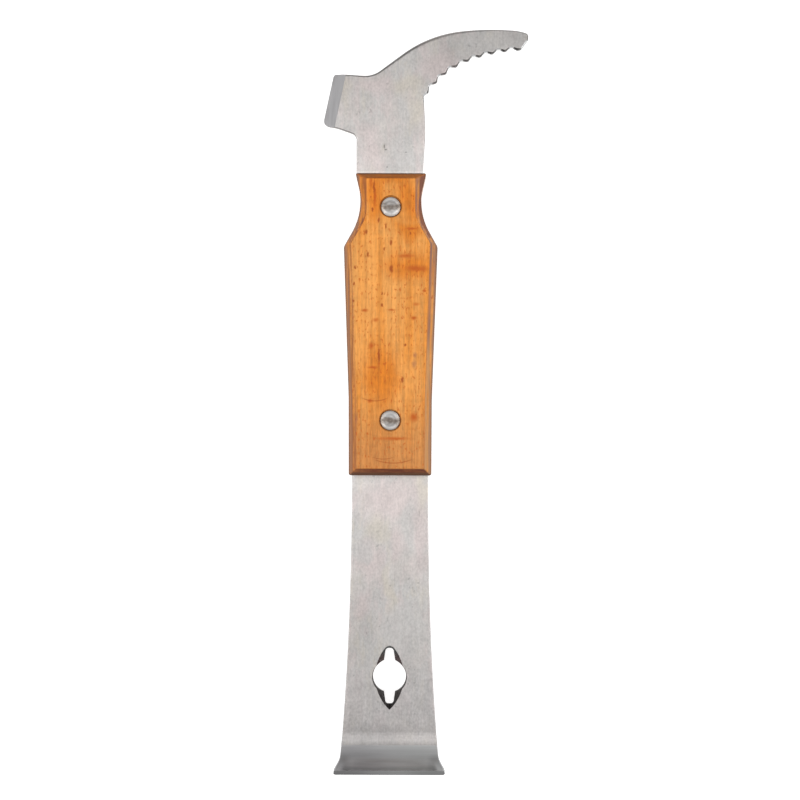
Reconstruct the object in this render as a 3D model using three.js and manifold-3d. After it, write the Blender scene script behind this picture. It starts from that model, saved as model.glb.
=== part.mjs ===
// A hive tool: one piece of sheet steel with a toothed hook and a chisel nose at its head, a keyhole
// nail slot in its blade and a curled scraper lip at its foot, and a beech handle of two scales that
// two-part rivets hold to the tang.
//
// Millimetres. X runs across the tool, Y along it towards the hook, and Z up from the back face of
// the handle, so the tool lies on its rear scale. The origin is at the middle of the handle's length.

import * as THREE from 'three';
import { mergeVertices } from 'three/addons/utils/BufferGeometryUtils.js';
import Module from 'manifold-3d';

const wasm = await Module();
wasm.setup();

// Overall sizes.
const OVERALL_LENGTH = 260;
const HOOK_TOP = 103.8;
const LIP_END = HOOK_TOP - OVERALL_LENGTH;
const STEEL_THICKNESS = 2.5;
const SCALE_THICKNESS = 8;
const HANDLE_LENGTH = 105;

// Heights of the faces, from the back of the handle up.
const REAR_FACE = SCALE_THICKNESS;
const FRONT_FACE = REAR_FACE + STEEL_THICKNESS;
const HANDLE_FRONT = FRONT_FACE + SCALE_THICKNESS;

// Handle.
const HANDLE_END = HANDLE_LENGTH / 2;
const CHAMFER_DEPTH = 2.2;
const TOP_CHAMFER = 1.6;
const FOOT_CHAMFER = 2.5;

// Blade below the handle: it widens slowly, then faster, down to where the lip starts to curl.
const BLADE_HALF_WIDTH = 13.35;
const BLADE_WIDENING = 3.15;
const WIDENING_POWER = 2.2;
const WIDENING_STEPS = 12;

// Scraper lip: a quarter curl towards the front, ground to an edge along its inner face.
const LIP_INNER_RADIUS = 10.4;
const LIP_ANGLE = THREE.MathUtils.degToRad(82);
const LIP_STRAIGHT = 1.2;
const LIP_GRIND_ANGLE = THREE.MathUtils.degToRad(45);
const LIP_ARC_STEPS = 14;
const LIP_HALF_WIDTH = 19.3;

// Chisel nose: its edge leans from the top corner out to the foot corner.
const NOSE_TOP = new THREE.Vector2(-20.45, 88.15);
const NOSE_FOOT = new THREE.Vector2(-24.3, 69.95);
const NOSE_BEVEL_WIDTH = 4.5;

// Toothed edge under the hook.
const TOOTH_COUNT = 9;
const TOOTH_TIP_RADIUS = 1;
const GULLET_RADIUS = 1.5;
const TOOTH_HEIGHT = 1.75;
const TOOTH_STEPS = 3;

// Keyhole nail slot, countersunk to a lens on the front: pointed at its foot, rounded at its top.
const SLOT_Y = -123.2;
const SLOT_CIRCLE_RADIUS = 5.8;
const SLOT_HALF_LENGTH = 9.8;
const SLOT_ROOT_HALF_WIDTH = 2.75;
const SLOT_END_HALF_WIDTH = 1.32;
const SLOT_END_RADIUS = 1.15;
const LENS_HALF_WIDTH = 5.05;
const LENS_HALF_LENGTH = 11.7;
const LENS_REAR_HALF_WIDTH = 1.9;
const LENS_REAR_HALF_LENGTH = 9.6;
const LENS_TOP_RADIUS = 2.05;
const LENS_REAR_TOP_RADIUS = 0.3;
const LENS_STEPS = 12;
const LENS_TOP_STEPS = 6;

// Rivets: a post with a solid shank pressed into a socket with a tubular one.
const RIVET_PLACES = { upper: 40.6, lower: -33.3 };
const RIVET_HEAD_RADIUS = 3.45;
const RIVET_RIM_HEIGHT = 0.45;
const RIVET_CROWN_HEIGHT = 1.05;
const COUNTERBORE_RADIUS = 3.9;
const COUNTERBORE_DEPTH = 1.15;
const SOCKET_RADIUS = 2.5;
const SOCKET_BORE_RADIUS = 1.7;
const POST_RADIUS = 1.6;
const RIVET_HOLE_RADIUS = 2.6;
const HEAD_CLEARANCE = 0.05;
const SHANK_END_GAP = 0.6;
const ROUND_SEGMENTS = 32;
const DOME_STEPS = 5;

const CUT_MARGIN = 1;

// ---- Outlines ----

// The arc that rounds one corner [x, y, radius, steps] and touches both of its sides.
function cornerArc(before, corner, after) {
  const [x, y, radius, steps] = corner;
  const at = new THREE.Vector2(x, y);
  if (!radius) {
    return [at];
  }
  const toBefore = new THREE.Vector2(before[0], before[1]).sub(at).normalize();
  const toAfter = new THREE.Vector2(after[0], after[1]).sub(at).normalize();
  const halfAngle = Math.acos(toBefore.dot(toAfter)) / 2;
  const bisector = toBefore.clone().add(toAfter).normalize();
  const centre = at.clone().addScaledVector(bisector, radius / Math.sin(halfAngle));
  const start = at.clone().addScaledVector(toBefore, radius / Math.tan(halfAngle)).sub(centre);
  const turn = (Math.PI - 2 * halfAngle) * Math.sign(toAfter.cross(toBefore));
  const origin = new THREE.Vector2();
  return Array.from({ length: steps + 1 }, (_, i) => {
    return start.clone().rotateAround(origin, (turn * i) / steps).add(centre);
  });
}

// A closed outline through corners, each rounded by its own radius.
function roundedOutline(corners) {
  return corners.flatMap((corner, i) => {
    const before = corners.at(i - 1);
    const after = corners[(i + 1) % corners.length];
    return cornerArc(before, corner, after);
  });
}

// Right-hand corners listed upwards, as left-hand corners listed downwards.
function mirrored(corners) {
  return corners.map(([x, ...rest]) => [-x, ...rest]).reverse();
}

// Half the handle's outline from its foot up: a slow taper, a shoulder and a waist that flares again.
const HANDLE_SIDE = [
  [14.35, -HANDLE_END, 0.8, 3],
  [14.45, -26, 60, 4],
  [16.3, 26.9, 2.8, 4],
  [9.2, 39.5, 22, 12],
  [12.3, HANDLE_END, 0.5, 3],
];

// The same corners where the chamfer meets the handle's face.
const FACE_SIDE = [
  [11.85, FOOT_CHAMFER - HANDLE_END, 0.5, 3],
  [11.95, -26, 60, 4],
  [13.7, 28.1, 2.5, 4],
  [8.4, 37.1, 12, 12],
  [8.45, HANDLE_END - TOP_CHAMFER, 0.4, 3],
];

// Corners of the toothed edge, from the hook's root to its tip: tips and gullets in turn.
function toothCorners() {
  const tipLine = new THREE.SplineCurve([
    new THREE.Vector2(13.1, 81.6),
    new THREE.Vector2(19.3, 88.1),
    new THREE.Vector2(26.8, 92.4),
    new THREE.Vector2(35.3, 95),
    new THREE.Vector2(44.3, 96.5),
  ]);
  const spans = 2 * (TOOTH_COUNT - 1);
  return Array.from({ length: spans + 1 }, (_, i) => {
    const point = tipLine.getPointAt(i / spans);
    const tangent = tipLine.getTangentAt(i / spans);
    const isGullet = i % 2 === 1;
    const depth = isGullet ? TOOTH_HEIGHT : 0;
    const radius = isGullet ? GULLET_RADIUS : TOOTH_TIP_RADIUS;
    return [point.x - tangent.y * depth, point.y + tangent.x * depth, radius, TOOTH_STEPS];
  });
}

// Where the lip starts to curl, so that its lowest ground corner lands on the tool's end.
function lipStart() {
  const bevelLength = STEEL_THICKNESS / Math.sin(LIP_GRIND_ANGLE);
  const reach = LIP_INNER_RADIUS * Math.sin(LIP_ANGLE)
    + LIP_STRAIGHT * Math.cos(LIP_ANGLE)
    - bevelLength * Math.cos(LIP_ANGLE + LIP_GRIND_ANGLE);
  return LIP_END + reach;
}

// Right edge of the blade from the lip's corner up to the handle.
function bladeEdgeCorners() {
  const start = lipStart();
  const length = -HANDLE_END - start;
  const edge = [];
  for (let i = 0; i <= WIDENING_STEPS; i += 1) {
    const along = 1 - i / WIDENING_STEPS;
    const width = BLADE_HALF_WIDTH + BLADE_WIDENING * along ** WIDENING_POWER;
    edge.push([width, -HANDLE_END - along * length, 0]);
  }
  return edge;
}

// The whole steel piece seen from the front, anticlockwise from the lip's right corner.
function steelOutline() {
  const lipFlare = [
    [LIP_HALF_WIDTH, LIP_END - CUT_MARGIN, 0],
    [LIP_HALF_WIDTH, LIP_END + 1.5, 1.2, 4],
    [17.3, LIP_END + 4.3, 5, 4],
  ];
  const rightEdge = [...lipFlare, ...bladeEdgeCorners()];
  const tang = HANDLE_SIDE.map(([x, y, radius, steps]) => {
    const isEnd = Math.abs(y) === HANDLE_END;
    return [x, y, isEnd ? 0 : radius, steps];
  });
  const neckRight = [
    [11.1, HANDLE_END, 0],
    [12.05, 68, 60, 6],
    [11.3, 80.5, 0.6, 3],
  ];
  const hookBack = [
    [45.7, 97, 0.8, 3],
    [48, 100.3, 2.2, 4],
    [48, 102.3, 1.2, 4],
    [44.7, HOOK_TOP - 0.4, 18, 3],
    [32.4, HOOK_TOP + 0.25, 98, 5],
    [13.3, 102.2, 41, 10],
    [-6.6, 87.3, 9, 6],
  ];
  const nose = [
    [NOSE_TOP.x, NOSE_TOP.y, 1.2, 4],
    [NOSE_FOOT.x, NOSE_FOOT.y, 2.6, 6],
    [-19, 69.1, 14, 2],
    [-12.1, 66.7, 2.6, 5],
  ];
  const neckLeft = [[-12.1, HANDLE_END, 0]];
  return roundedOutline([
    ...rightEdge,
    ...tang,
    ...neckRight,
    ...toothCorners(),
    ...hookBack,
    ...nose,
    ...neckLeft,
    ...mirrored(tang),
    ...mirrored(rightEdge),
  ]);
}

// The steel seen from its side, as points (y, z): a flat strip that ends in the ground, curled lip.
function steelProfile() {
  const start = lipStart();
  const centreZ = FRONT_FACE + LIP_INNER_RADIUS;
  const outerRadius = LIP_INNER_RADIUS + STEEL_THICKNESS;
  const bevelBack = STEEL_THICKNESS / Math.tan(LIP_GRIND_ANGLE);
  const outerAngle = LIP_ANGLE - (bevelBack - LIP_STRAIGHT) / outerRadius;
  const onArc = (radius, angle) => {
    return new THREE.Vector2(start - radius * Math.sin(angle), centreZ - radius * Math.cos(angle));
  };
  const arc = (radius, from, to) => {
    return Array.from({ length: LIP_ARC_STEPS + 1 }, (_, i) => {
      return onArc(radius, THREE.MathUtils.lerp(from, to, i / LIP_ARC_STEPS));
    });
  };
  const tip = onArc(LIP_INNER_RADIUS, LIP_ANGLE);
  tip.x -= LIP_STRAIGHT * Math.cos(LIP_ANGLE);
  tip.y += LIP_STRAIGHT * Math.sin(LIP_ANGLE);
  const hookEnd = HOOK_TOP + CUT_MARGIN;
  return [
    new THREE.Vector2(hookEnd, FRONT_FACE),
    ...arc(LIP_INNER_RADIUS, 0, LIP_ANGLE),
    tip,
    ...arc(outerRadius, outerAngle, 0),
    new THREE.Vector2(hookEnd, REAR_FACE),
  ];
}

// A lens of two arcs that meet in a point at its foot, with its top end rounded, anticlockwise from
// the foot.
function lensOutline(halfWidth, halfLength, topRadius) {
  const radius = (halfWidth ** 2 + halfLength ** 2) / (2 * halfWidth);
  const centreX = halfWidth - radius;
  const footAngle = -Math.asin(halfLength / radius);
  const topCentreY = Math.sqrt((radius - topRadius) ** 2 - centreX ** 2);
  const topAngle = Math.atan2(topCentreY, -centreX);
  const right = Array.from({ length: LENS_STEPS }, (_, i) => {
    const angle = THREE.MathUtils.lerp(footAngle, topAngle, i / LENS_STEPS);
    return new THREE.Vector2(centreX + radius * Math.cos(angle), radius * Math.sin(angle));
  });
  const top = Array.from({ length: LENS_TOP_STEPS + 1 }, (_, i) => {
    const angle = THREE.MathUtils.lerp(topAngle, Math.PI - topAngle, i / LENS_TOP_STEPS);
    return new THREE.Vector2(topRadius * Math.cos(angle), topCentreY + topRadius * Math.sin(angle));
  });
  const left = right.slice(1).reverse().map((point) => new THREE.Vector2(-point.x, point.y));
  return [...right, ...top, ...left].map((point) => point.add(new THREE.Vector2(0, SLOT_Y)));
}

// The two tapered arms of the nail slot, one above and one below its circle.
function slotArmsOutline() {
  const end = [SLOT_END_HALF_WIDTH, SLOT_HALF_LENGTH, SLOT_END_RADIUS, 5];
  const root = [SLOT_ROOT_HALF_WIDTH, 0, 0];
  const foot = [SLOT_END_HALF_WIDTH, -SLOT_HALF_LENGTH, SLOT_END_RADIUS, 5];
  const right = [foot, root, end];
  return roundedOutline([...right, ...mirrored(right)]).map((point) => {
    return new THREE.Vector2(point.x, point.y + SLOT_Y);
  });
}

// ---- Solids ----

// A plate between two heights.
function plate(outline, bottom, top) {
  const geometry = new THREE.ExtrudeGeometry(new THREE.Shape(outline), {
    depth: top - bottom,
    bevelEnabled: false,
  });
  return geometry.translate(0, 0, bottom);
}

// A closed body through rings {z, outline} with equal point counts, lowest first.
function loft(rings) {
  const count = rings[0].outline.length;
  const positions = rings.flatMap(({ z, outline }) => outline.flatMap((point) => [point.x, point.y, z]));
  const index = [];
  for (let ring = 0; ring < rings.length - 1; ring += 1) {
    for (let i = 0; i < count; i += 1) {
      const lower = ring * count + i;
      const lowerNext = ring * count + ((i + 1) % count);
      index.push(lower, lowerNext, lowerNext + count);
      index.push(lower, lowerNext + count, lower + count);
    }
  }
  for (const [a, b, c] of THREE.ShapeUtils.triangulateShape(rings[0].outline, [])) {
    index.push(a, c, b);
  }
  const last = (rings.length - 1) * count;
  for (const [a, b, c] of THREE.ShapeUtils.triangulateShape(rings.at(-1).outline, [])) {
    index.push(last + a, last + b, last + c);
  }
  const geometry = new THREE.BufferGeometry();
  geometry.setAttribute('position', new THREE.Float32BufferAttribute(positions, 3));
  geometry.setIndex(index);
  return geometry;
}

// A round bar along Z.
function bar(radius, bottom, top, y) {
  const geometry = new THREE.CylinderGeometry(radius, radius, top - bottom, ROUND_SEGMENTS);
  return geometry.rotateX(Math.PI / 2).translate(0, y, (bottom + top) / 2);
}

// A turned body about Z, from a profile of (radius, height) points that starts and ends on the axis.
function turned(profile) {
  return new THREE.LatheGeometry(profile, ROUND_SEGMENTS).rotateX(Math.PI / 2);
}

function toSolid(geometry) {
  geometry.deleteAttribute('normal');
  geometry.deleteAttribute('uv');
  const merged = mergeVertices(geometry, 1e-4);
  return new wasm.Manifold(new wasm.Mesh({
    numProp: 3,
    vertProperties: merged.attributes.position.array,
    triVerts: new Uint32Array(merged.index.array),
  }));
}

function toGeometry(solid) {
  const { vertProperties, triVerts } = solid.getMesh();
  const geometry = new THREE.BufferGeometry();
  geometry.setAttribute('position', new THREE.BufferAttribute(vertProperties, 3));
  geometry.setIndex(new THREE.BufferAttribute(triVerts, 1));
  geometry.computeVertexNormals();
  return geometry;
}

// ---- Pieces ----

// The steel that the nose's bevel takes off: a wedge from the front face down to the rear corner.
function noseBevelCut() {
  const edge = NOSE_TOP.clone().sub(NOSE_FOOT);
  const overrun = edge.length();
  const wedge = new THREE.Shape([
    new THREE.Vector2(0, REAR_FACE),
    new THREE.Vector2(NOSE_BEVEL_WIDTH, FRONT_FACE),
    new THREE.Vector2(NOSE_BEVEL_WIDTH, HANDLE_FRONT),
    new THREE.Vector2(-overrun, HANDLE_FRONT),
    new THREE.Vector2(-overrun, REAR_FACE),
  ]);
  const geometry = new THREE.ExtrudeGeometry(wedge, { depth: 2 * overrun, bevelEnabled: false });
  const lean = edge.angle() - Math.PI / 2;
  geometry.rotateX(Math.PI / 2);
  geometry.translate(0, 1.5 * overrun, 0);
  geometry.rotateZ(lean);
  return geometry.translate(NOSE_FOOT.x, NOSE_FOOT.y, 0);
}

function nailSlotCut() {
  const bottom = REAR_FACE - CUT_MARGIN;
  const top = FRONT_FACE + CUT_MARGIN;
  const circle = toSolid(bar(SLOT_CIRCLE_RADIUS, bottom, top, SLOT_Y));
  const arms = toSolid(plate(slotArmsOutline(), bottom, top));
  const rearLens = lensOutline(LENS_REAR_HALF_WIDTH, LENS_REAR_HALF_LENGTH, LENS_REAR_TOP_RADIUS);
  const frontLens = lensOutline(LENS_HALF_WIDTH, LENS_HALF_LENGTH, LENS_TOP_RADIUS);
  const countersink = toSolid(loft([
    { z: REAR_FACE, outline: rearLens },
    { z: FRONT_FACE, outline: frontLens },
    { z: top, outline: frontLens },
  ]));
  return circle.add(arms).add(countersink);
}

function blade() {
  const fromFront = toSolid(plate(steelOutline(), 0, FRONT_FACE + 2 * LIP_INNER_RADIUS));
  const stripHalfWidth = HOOK_TOP;
  const strip = plate(steelProfile(), -stripHalfWidth, stripHalfWidth);
  const alongY = new THREE.Vector3(0, 1, 0);
  const alongZ = new THREE.Vector3(0, 0, 1);
  const alongX = new THREE.Vector3(1, 0, 0);
  strip.applyMatrix4(new THREE.Matrix4().makeBasis(alongY, alongZ, alongX));
  let solid = fromFront.intersect(toSolid(strip));
  solid = solid.subtract(toSolid(noseBevelCut()));
  solid = solid.subtract(nailSlotCut());
  for (const y of Object.values(RIVET_PLACES)) {
    solid = solid.subtract(toSolid(bar(RIVET_HOLE_RADIUS, 0, HANDLE_FRONT, y)));
  }
  return toGeometry(solid);
}

// One wooden scale: flat against the steel, and chamfered all round its outer face.
function scale(isFront) {
  const full = roundedOutline([...HANDLE_SIDE, ...mirrored(HANDLE_SIDE)]);
  const face = roundedOutline([...FACE_SIDE, ...mirrored(FACE_SIDE)]);
  const frontRings = [
    { z: FRONT_FACE, outline: full },
    { z: HANDLE_FRONT - CHAMFER_DEPTH, outline: full },
    { z: HANDLE_FRONT, outline: face },
  ];
  const rearRings = [
    { z: 0, outline: face },
    { z: CHAMFER_DEPTH, outline: full },
    { z: REAR_FACE, outline: full },
  ];
  const boreBottom = isFront ? HANDLE_FRONT - COUNTERBORE_DEPTH : -CUT_MARGIN;
  const boreTop = isFront ? HANDLE_FRONT + CUT_MARGIN : COUNTERBORE_DEPTH;
  let solid = toSolid(loft(isFront ? frontRings : rearRings));
  for (const y of Object.values(RIVET_PLACES)) {
    solid = solid.subtract(toSolid(bar(RIVET_HOLE_RADIUS, -CUT_MARGIN, HANDLE_FRONT + CUT_MARGIN, y)));
    solid = solid.subtract(toSolid(bar(COUNTERBORE_RADIUS, boreBottom, boreTop, y)));
  }
  return toGeometry(solid);
}

// The domed outside of a rivet head, from its crown to the underside of its rim, at height 0.
function headProfile() {
  const rise = RIVET_CROWN_HEIGHT - RIVET_RIM_HEIGHT;
  const radius = (RIVET_HEAD_RADIUS ** 2 + rise ** 2) / (2 * rise);
  const sweep = Math.asin(RIVET_HEAD_RADIUS / radius);
  const dome = Array.from({ length: DOME_STEPS + 1 }, (_, i) => {
    const angle = (sweep * i) / DOME_STEPS;
    return new THREE.Vector2(
      radius * Math.sin(angle),
      RIVET_CROWN_HEIGHT - radius * (1 - Math.cos(angle)),
    );
  });
  return [...dome, new THREE.Vector2(RIVET_HEAD_RADIUS, 0)];
}

// Height of a head's underside above the handle's back, or below its front.
const HEAD_SEAT = COUNTERBORE_DEPTH - HEAD_CLEARANCE;
const SHANK_LENGTH = HANDLE_FRONT - 2 * HEAD_SEAT;

// Front half of a rivet: a head with a solid shank.
function rivetPost() {
  const reach = SHANK_LENGTH - SHANK_END_GAP;
  const profile = [
    ...headProfile(),
    new THREE.Vector2(POST_RADIUS, 0),
    new THREE.Vector2(POST_RADIUS, -reach),
    new THREE.Vector2(0, -reach),
  ];
  return turned(profile.reverse());
}

// Rear half of a rivet: a head with a tube that takes the post.
function rivetSocket() {
  const reach = SHANK_LENGTH - SHANK_END_GAP;
  const profile = [
    ...headProfile(),
    new THREE.Vector2(SOCKET_RADIUS, 0),
    new THREE.Vector2(SOCKET_RADIUS, -reach),
    new THREE.Vector2(SOCKET_BORE_RADIUS, -reach),
    new THREE.Vector2(SOCKET_BORE_RADIUS, 0),
    new THREE.Vector2(0, 0),
  ];
  return turned(profile.reverse());
}

// ---- Assembly ----

const stainless = { color: 0xcbc7c3, roughness: 0.38, metalness: 1 };
const beech = { color: 0xe2964b, roughness: 0.5, metalness: 0 };
const rivetMetal = { color: 0xc9ccd0, roughness: 0.3, metalness: 1 };

function piece(name, geometry, look) {
  const mesh = new THREE.Mesh(geometry, new THREE.MeshStandardMaterial(look));
  mesh.name = name;
  return mesh;
}

const hiveTool = new THREE.Group();
hiveTool.name = 'hive_tool';
hiveTool.add(piece('blade', blade(), stainless));
hiveTool.add(piece('front_scale', scale(true), beech));
hiveTool.add(piece('rear_scale', scale(false), beech));
for (const [place, y] of Object.entries(RIVET_PLACES)) {
  const post = piece(`${place}_rivet_post`, rivetPost(), rivetMetal);
  post.position.set(0, y, HANDLE_FRONT - HEAD_SEAT);
  const socket = piece(`${place}_rivet_socket`, rivetSocket(), rivetMetal);
  socket.position.set(0, y, HEAD_SEAT);
  socket.rotation.x = Math.PI;
  hiveTool.add(post, socket);
}

export default hiveTool;
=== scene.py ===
import math
from functools import reduce

import bmesh
import bpy
from mathutils import Matrix, Vector


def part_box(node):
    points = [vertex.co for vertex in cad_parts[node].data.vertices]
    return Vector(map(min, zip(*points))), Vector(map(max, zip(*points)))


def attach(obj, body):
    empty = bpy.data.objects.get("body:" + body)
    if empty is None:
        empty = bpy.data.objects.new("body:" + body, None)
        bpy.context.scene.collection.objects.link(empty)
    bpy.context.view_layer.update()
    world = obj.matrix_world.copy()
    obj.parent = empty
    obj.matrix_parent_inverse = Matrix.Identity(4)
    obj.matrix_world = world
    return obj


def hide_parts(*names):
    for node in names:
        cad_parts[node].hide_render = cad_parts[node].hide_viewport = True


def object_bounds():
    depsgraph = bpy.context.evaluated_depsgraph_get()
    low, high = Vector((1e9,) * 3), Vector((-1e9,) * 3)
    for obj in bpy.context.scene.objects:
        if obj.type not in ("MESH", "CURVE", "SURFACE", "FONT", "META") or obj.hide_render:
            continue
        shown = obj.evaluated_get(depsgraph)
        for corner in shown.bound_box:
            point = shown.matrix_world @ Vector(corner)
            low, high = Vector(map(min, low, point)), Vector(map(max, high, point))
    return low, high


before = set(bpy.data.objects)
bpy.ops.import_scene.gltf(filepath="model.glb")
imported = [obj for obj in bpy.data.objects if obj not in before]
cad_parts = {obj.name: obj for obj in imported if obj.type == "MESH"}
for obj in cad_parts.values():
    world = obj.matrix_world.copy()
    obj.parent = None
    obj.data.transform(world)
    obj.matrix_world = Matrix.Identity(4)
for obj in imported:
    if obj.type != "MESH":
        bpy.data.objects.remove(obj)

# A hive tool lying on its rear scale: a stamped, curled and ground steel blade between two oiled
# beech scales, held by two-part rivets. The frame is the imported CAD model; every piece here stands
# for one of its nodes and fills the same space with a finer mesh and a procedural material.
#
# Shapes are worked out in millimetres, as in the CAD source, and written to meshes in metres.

MM = 0.001
cad_low, cad_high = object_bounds()


def box_mm(node):
    """The low and high corners of a CAD node's box, in millimetres."""
    low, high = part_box(node)
    return low / MM, high / MM


# ---- Places, from the frame ----

blade_low, blade_high = box_mm("blade")
front_low, front_high = box_mm("front_scale")

LIP_END = blade_low.y
HOOK_TOP = blade_high.y
REAR_FACE = box_mm("rear_scale")[1].z
FRONT_FACE = front_low.z
HANDLE_FRONT = front_high.z
HANDLE_END = front_high.y
STEEL_THICKNESS = FRONT_FACE - REAR_FACE
RIVET_Y = {
    "upper": sum(corner.y for corner in box_mm("upper_rivet_post")) / 2,
    "lower": sum(corner.y for corner in box_mm("lower_rivet_post")) / 2,
}

# ---- Sizes that the frame's boxes don't give ----

CHAMFER_DEPTH = 2.2
TOP_CHAMFER = 2.1
FOOT_CHAMFER = 2.5

BLADE_HALF_WIDTH = 13.35
BLADE_WIDENING = 3.15
WIDENING_POWER = 2.2
BLADE_SECTIONS = 24

LIP_INNER_RADIUS = 10.4
LIP_ANGLE = math.radians(82)
LIP_STRAIGHT = 1.2
LIP_GRIND_ANGLE = math.radians(45)
LIP_HALF_WIDTH = 19.3
LIP_SECTIONS = 26
LIP_GROUND_Y = -147.2

NOSE_TOP = Vector((-20.45, 88.15))
NOSE_FOOT = Vector((-24.3, 69.95))
NOSE_BEVEL_WIDTH = 4.5

TOOTH_COUNT = 9
TOOTH_TIP_RADIUS = 1.0
GULLET_RADIUS = 1.5
TOOTH_HEIGHT = 1.75
TOOTH_ROUND_STEPS = 8
# How far off the line of the tooth tips the gullets' cutter left a clean edge: from, to.
CLEAN_DEPTH = 1.15
GULLET_REACH = 2.2
TOOTH_LINE = [(13.1, 81.6), (19.3, 88.1), (26.8, 92.4), (35.3, 95.0), (44.3, 96.5)]

SLOT_Y = -123.2
SLOT_CIRCLE_RADIUS = 5.8
SLOT_HALF_LENGTH = 9.8
SLOT_ROOT_HALF_WIDTH = 2.75
SLOT_END_HALF_WIDTH = 1.32
SLOT_END_RADIUS = 1.15
LENS_HALF_WIDTH = 5.05
LENS_HALF_LENGTH = 11.7
LENS_REAR_HALF_WIDTH = 1.9
LENS_REAR_HALF_LENGTH = 9.6
LENS_TOP_RADIUS = 2.05
LENS_REAR_TOP_RADIUS = 0.3
LENS_STEPS = 28
LENS_TOP_STEPS = 14

RIVET_HEAD_RADIUS = 3.45
RIVET_CROWN_HEIGHT = 1.05
RIVET_RIM_HEIGHT = 0.45
HEAD_CLEARANCE = 0.05
COUNTERBORE_RADIUS = 3.9
COUNTERBORE_DEPTH = 1.15
SOCKET_RADIUS = 2.5
SOCKET_BORE_RADIUS = 1.7
POST_RADIUS = 1.6
POST_CHAMFER = 0.2
UNDERCUT = 0.08
RIVET_HOLE_RADIUS = 2.6
SHANK_END_GAP = 0.6
ROUND_SEGMENTS = 96

# Rounding that tumbling leaves on the stamped edges, and on the flush-ground tang. Along the hook's
# back it is most at BACK_ROUND_X, and LEAST_WALL stays flat between the front and rear rounding.
EDGE_ROUND = 0.42
BLADE_EDGE_ROUND = 0.28
HOOK_BACK_ROUND = 1.4
BACK_ROUND_X = 12
BACK_ROUND_REACH = 20
LEAST_WALL = 0.15
TOOTH_TIP_ROUND = 0.95
LIP_REAR_ROUND = 0.9
TANG_ROUND = 0.08
ROUND_STEPS = 5

# Wear on the front edge of the slot's circle, on the rivet heads' rims, on the scales' edges along
# the steel, and above and below their chamfers.
SLOT_EASE = 0.28
RIM_EASE = 0.22
SEAM_EASE = 0.15
CHAMFER_EASE = 0.4
EASE_STEPS = 4
DOME_STEPS = 14

# ---- Outlines, in the plane of the steel ----


def corner_arc(before, corner, after):
    """The arc that rounds one corner (x, y, radius, steps) and touches both of its sides."""
    x, y, radius, steps = corner
    at = Vector((x, y))
    if not radius:
        return [at]
    to_before = (Vector(before[:2]) - at).normalized()
    to_after = (Vector(after[:2]) - at).normalized()
    half_angle = math.acos(to_before.dot(to_after)) / 2
    centre = at + (to_before + to_after).normalized() * (radius / math.sin(half_angle))
    start = at + to_before * (radius / math.tan(half_angle)) - centre
    turn = (math.pi - 2 * half_angle) * math.copysign(1, to_after.cross(to_before))
    return [centre + Matrix.Rotation(turn * i / steps, 2) @ start for i in range(steps + 1)]


def rounded(corners, closed=True):
    """The outline through corners, each rounded by its own radius."""
    points = []
    for i, corner in enumerate(corners):
        is_end = not closed and i in (0, len(corners) - 1)
        after = corners[(i + 1) % len(corners)]
        points += [Vector(corner[:2])] if is_end else corner_arc(corners[i - 1], corner, after)
    return points


def mirrored(corners):
    """Right-hand corners listed upwards, as left-hand corners listed downwards."""
    return [(-x, *rest) for x, *rest in reversed(corners)]


SPLINE_SAMPLES = 400
# The last share of a spline that is worked out, just inside its last stretch.
SPLINE_END = 0.99999


def spline(points, share):
    """A point and its direction on the smooth curve through points, by share of the knots."""
    place = min(share, SPLINE_END) * (len(points) - 1)
    i = int(place)
    t = place - i
    knots = [Vector(points[max(0, min(len(points) - 1, i + step))]) for step in (-1, 0, 1, 2)]
    a = (knots[2] - knots[0]) * 0.5
    b = (knots[3] - knots[1]) * 0.5
    c = 2 * knots[1] - 2 * knots[2] + a + b
    d = -3 * knots[1] + 3 * knots[2] - 2 * a - b
    return ((c * t + d) * t + a) * t + knots[1], ((3 * c * t + 2 * d) * t + a).normalized()


def along_spline(points, count):
    """Places and directions at even distances along the smooth curve through points."""
    fine = [spline(points, i / SPLINE_SAMPLES) for i in range(SPLINE_SAMPLES + 1)]
    reach = [0.0]
    for (here, _), (there, _) in zip(fine, fine[1:]):
        reach.append(reach[-1] + (there - here).length)
    picked = []
    for i in range(count):
        target = reach[-1] * i / (count - 1)
        nearest = min(range(len(fine)), key=lambda n: abs(reach[n] - target))
        picked.append(fine[nearest])
    return picked


# Half the handle's outline from its foot up, and where the chamfer meets its face.
HANDLE_SIDE = [
    (14.35, -HANDLE_END, 0.8, 6),
    (14.45, -26, 60, 6),
    (16.3, 26.9, 2.8, 10),
    (9.2, 39.5, 22, 24),
    (12.3, HANDLE_END, 0.5, 5),
]
FACE_SIDE = [
    (11.85, FOOT_CHAMFER - HANDLE_END, 0.5, 6),
    (11.95, -26, 60, 6),
    (13.7, 28.1, 2.5, 10),
    (8.4, 37.1, 12, 24),
    (8.45, HANDLE_END - TOP_CHAMFER, 0.4, 5),
]


def tooth_corners():
    """Corners of the toothed edge, from the hook's root to its tip: tips and gullets in turn."""
    corners = []
    for i, (point, direction) in enumerate(along_spline(TOOTH_LINE, 2 * TOOTH_COUNT - 1)):
        is_gullet = i % 2 == 1
        depth = TOOTH_HEIGHT if is_gullet else 0
        radius = GULLET_RADIUS if is_gullet else TOOTH_TIP_RADIUS
        at = (point.x - direction.y * depth, point.y + direction.x * depth)
        corners.append((*at, radius, TOOTH_ROUND_STEPS))
    return corners


def line_at(low, high, y):
    """How far across a straight side is at a height, from the points at its ends."""
    (x0, y0, *_), (x1, y1, *_) = low, high
    return x0 + (x1 - x0) * (y - y0) / (y1 - y0)


FOOT_CORNER, BEND_CORNER, SHOULDER_CORNER = HANDLE_SIDE[:3]

# Where the head's one outline ends and the sections down to the lip begin.
SPLIT_Y = 0.0
# The height over which the steel steps in from the tang's width to the blade's.
TANG_STEP = 0.3

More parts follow.
